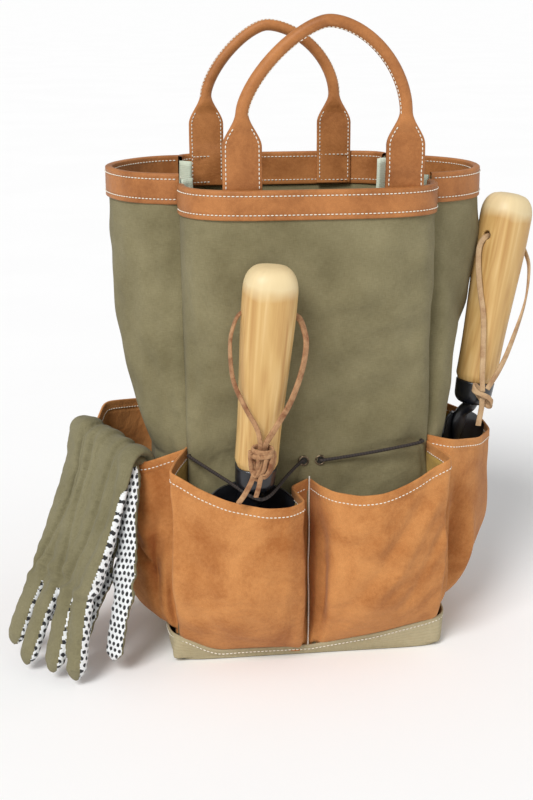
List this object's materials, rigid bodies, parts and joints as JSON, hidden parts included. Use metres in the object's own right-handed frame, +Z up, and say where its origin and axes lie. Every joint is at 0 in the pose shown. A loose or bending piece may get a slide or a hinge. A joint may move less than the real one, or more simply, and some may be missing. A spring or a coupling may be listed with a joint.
{
  "type": "garden tool bag",
  "caption": "Tall open canvas garden tool tote with leather rim, two rolled handles and outside leather pockets holding trowels and gloves.",
  "frame": {"origin": "on the ground under the middle of the bag's base", "axes": "+Z up, +Y towards the rear, -Y the front with the twin pockets, +X the bag's right as seen from the front"},
  "size_m": [0.3607, 0.2364, 0.4326],
  "materials": {
    "canvas": "tightly woven olive-khaki cotton duck",
    "base_canvas": "heavier, paler khaki canvas",
    "rim_leather": "smooth vegetable-tanned leather with white saddle stitching",
    "pocket_leather": "nubuck leather outside, yellow suede inside, white stitched hem",
    "binding_tape": "pale cotton binding tape",
    "thread_piping": "pale corded seam",
    "eyelet_metal": "dark oxidised bronze",
    "elastic_cord": "very dark brown braided elastic cord",
    "board": "stiffening board",
    "rope_core": "cotton rope core",
    "grip_wood": "oiled ash, paler end grain at the top",
    "tool_steel": "black powder coat, satin",
    "lace_leather": "split leather lace",
    "glove_back_cotton": "olive cotton twill",
    "glove_palm_cotton": "white knit with small black rubber dots"
  },
  "bodies": {
    "bag": {"base_panel": "base_canvas", "base_board": "board", "front_panel": "canvas", "rear_panel": "canvas", "left_side_panel": "canvas", "right_side_panel": "canvas", "front_eyelets": "eyelet_metal", "rear_eyelets": "eyelet_metal", "drawcord": "elastic_cord", "front_pocket_piping": "thread_piping", "rear_pocket_piping": "thread_piping", "front_rim_band": "rim_leather", "right_rim_band": "rim_leather", "rear_rim_band": "rim_leather", "left_rim_band": "rim_leather", "front_left_seam_binding": "binding_tape", "front_right_seam_binding": "binding_tape", "rear_left_seam_binding": "binding_tape", "rear_right_seam_binding": "binding_tape", "front_left_pocket": "pocket_leather", "front_right_pocket": "pocket_leather", "rear_right_pocket": "pocket_leather", "rear_left_pocket": "pocket_leather", "right_pocket": "pocket_leather", "left_pocket": "pocket_leather", "front_handle_feet": "rim_leather", "rear_handle_feet": "rim_leather"},
    "front_handle": {"front_handle_strap": "rim_leather", "front_handle_core": "rope_core"},
    "rear_handle": {"rear_handle_strap": "rim_leather", "rear_handle_core": "rope_core"},
    "front_trowel": {"front_trowel_grip": "grip_wood", "front_trowel_ferrule": "tool_steel", "front_trowel_blade": "tool_steel"},
    "front_lanyard": {"front_trowel_lanyard": "lace_leather"},
    "side_trowel": {"side_trowel_grip": "grip_wood", "side_trowel_ferrule": "tool_steel", "side_trowel_blade": "tool_steel"},
    "side_lanyard": {"side_trowel_lanyard": "lace_leather"},
    "gloves": {"under_glove_back": "glove_back_cotton", "under_glove_palm": "glove_palm_cotton", "upper_glove_palm": "glove_palm_cotton", "upper_glove_back": "glove_back_cotton"}
  },
  "joints": [
    {"name": "front_handle_fold", "type": "hinge", "parent": "bag", "child": "front_handle", "pos_m": [0, -0.08907, 0.336], "axis": [-1, 0, 0], "range_deg": [-105, 50], "stiffness_Nm_per_rad": 0.3},
    {"name": "rear_handle_fold", "type": "hinge", "parent": "bag", "child": "rear_handle", "pos_m": [0, 0.07754, 0.336], "axis": [1, 0, 0], "range_deg": [-105, 50], "stiffness_Nm_per_rad": 0.3},
    {"name": "front_trowel_lift", "type": "slide", "parent": "bag", "child": "front_trowel", "axis": [0.0709, -0.1031, 0.9921], "range_m": [0, 0.3], "deforming": ["drawcord"]},
    {"name": "front_lanyard_swing", "type": "hinge", "parent": "front_trowel", "child": "front_lanyard", "pos_m": [-0.0331, -0.11397, 0.25206], "axis": [-0.9975, -0.0037, 0.0709], "range_deg": [0, 150], "stiffness_Nm_per_rad": 0.02},
    {"name": "side_trowel_lift", "type": "slide", "parent": "bag", "child": "side_trowel", "axis": [0.1601, 0.0261, 0.9868], "range_m": [0, 0.3]},
    {"name": "side_lanyard_swing", "type": "hinge", "parent": "side_trowel", "child": "side_lanyard", "pos_m": [0.14371, -0.01486, 0.28041], "axis": [-0.8074, -0.5717, 0.1461], "range_deg": [0, 150], "stiffness_Nm_per_rad": 0.02},
    {"name": "gloves_lift", "type": "slide", "parent": "bag", "child": "gloves", "axis": [-0.1579, -0.0296, 0.987], "range_m": [0, 0.2]}
  ]
}
